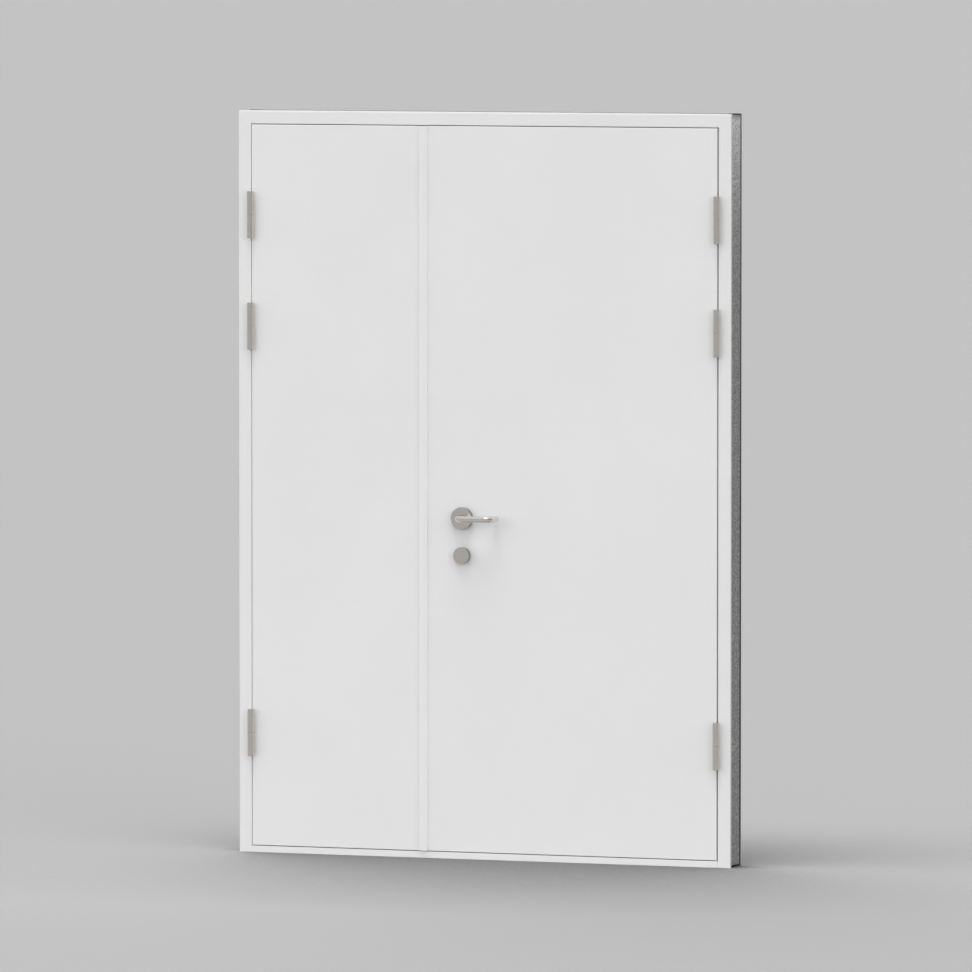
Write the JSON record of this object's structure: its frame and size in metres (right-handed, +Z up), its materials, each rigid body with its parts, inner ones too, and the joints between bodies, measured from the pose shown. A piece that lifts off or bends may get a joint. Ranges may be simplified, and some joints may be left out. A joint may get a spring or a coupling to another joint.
{
  "type": "double fire door",
  "caption": "Unequal double steel fire door in a channel frame with a low threshold, barrel hinges and a round-bar lever handle.",
  "frame": {"origin": "centre of the threshold's underside, at floor level in the middle of the frame's width and depth", "axes": "+Z up, +X to the right seen from the pull side, +Y into the wall, away from the side the leaves open to"},
  "size_m": [1.47, 0.1864, 2.1],
  "materials": {
    "frame_paint": "satin",
    "leaf_paint": "satin",
    "satin_steel": "satin",
    "plated_steel": "satin",
    "mineral_fill": "rough mineral",
    "mineral_core": "rough mineral",
    "seal_rubber": "matt",
    "fire_strip": "matt"
  },
  "bodies": {
    "frame": {"left_jamb": "frame_paint", "right_jamb": "frame_paint", "head": "frame_paint", "threshold": "frame_paint", "left_infill": "mineral_fill", "right_infill": "mineral_fill", "head_infill": "mineral_fill", "frame_seal": "seal_rubber", "left_hinge_frame_halves": "satin_steel", "right_hinge_frame_halves": "satin_steel", "left_hinge_rings": "plated_steel", "right_hinge_rings": "plated_steel", "head_bolt_keeper": "plated_steel", "threshold_bolt_keeper": "plated_steel"},
    "passive_leaf": {"passive_front_skin": "leaf_paint", "passive_back_skin": "leaf_paint", "passive_core": "mineral_core", "passive_hinge_halves": "satin_steel", "rear_cover_strip": "leaf_paint", "passive_fire_strip": "fire_strip", "strike_plate": "plated_steel", "top_flush_bolt": "plated_steel", "bottom_flush_bolt": "plated_steel"},
    "active_leaf": {"active_front_skin": "leaf_paint", "active_back_skin": "leaf_paint", "active_core": "mineral_core", "active_hinge_halves": "satin_steel", "front_cover_strip": "leaf_paint", "active_fire_strip": "fire_strip", "mortise_lock": "plated_steel", "latch_bolt": "plated_steel", "pull_lever_rose": "satin_steel", "pull_blank_rose": "satin_steel", "push_lever_rose": "satin_steel", "push_blank_rose": "satin_steel"},
    "lever_set": {"pull_lever": "satin_steel", "push_lever": "satin_steel", "spindle": "plated_steel"}
  },
  "joints": [
    {"name": "active_leaf_hinge", "type": "hinge", "parent": "frame", "child": "active_leaf", "pos_m": [0.6945, -0.05525, 0], "axis": [0, 0, 1], "range_deg": [0, 175]},
    {"name": "passive_leaf_hinge", "type": "hinge", "parent": "frame", "child": "passive_leaf", "pos_m": [-0.6945, -0.05525, 0], "axis": [0, 0, -1], "range_deg": [0, 175]},
    {"name": "lever_turn", "type": "hinge", "parent": "active_leaf", "child": "lever_set", "pos_m": [-0.06, 0, 0.96], "axis": [0, 1, 0], "range_deg": [0, 40], "stiffness_Nm_per_rad": 2, "springref_deg": -28.65}
  ]
}
